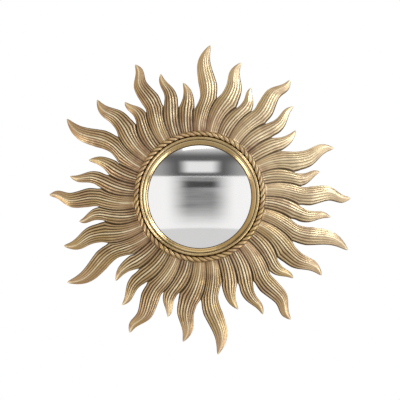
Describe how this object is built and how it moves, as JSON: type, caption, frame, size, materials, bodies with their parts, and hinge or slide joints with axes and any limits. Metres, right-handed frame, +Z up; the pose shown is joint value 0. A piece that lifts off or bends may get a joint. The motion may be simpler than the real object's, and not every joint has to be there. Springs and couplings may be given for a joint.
{
  "type": "wall mirror",
  "caption": "Round convex mirror in a gilt sunburst frame, with fluted wavy flames around a rope-twist ring moulding and a flat back that hangs on a wall.",
  "frame": {"origin": "on the wall plane, at the axis of the round glass", "axes": "+X to the right as seen from the front, +Y into the wall, +Z up; the mirror faces -Y"},
  "size_m": [0.6, 0.0273, 0.6192],
  "materials": {
    "antique_gilt": "antique gold leaf look over cast resin, dark patina in the grooves, soft sheen",
    "mirror_silver": "silvered convex glass",
    "dark_board": "dark stained fibreboard, matt",
    "hanger_steel": "zinc-plated steel"
  },
  "bodies": {
    "root": {"frame": "antique_gilt", "mirror_glass": "mirror_silver", "backing_board": "dark_board", "hanger": "hanger_steel", "hanger_pin_left": "hanger_steel", "hanger_pin_right": "hanger_steel"}
  },
  "joints": []
}
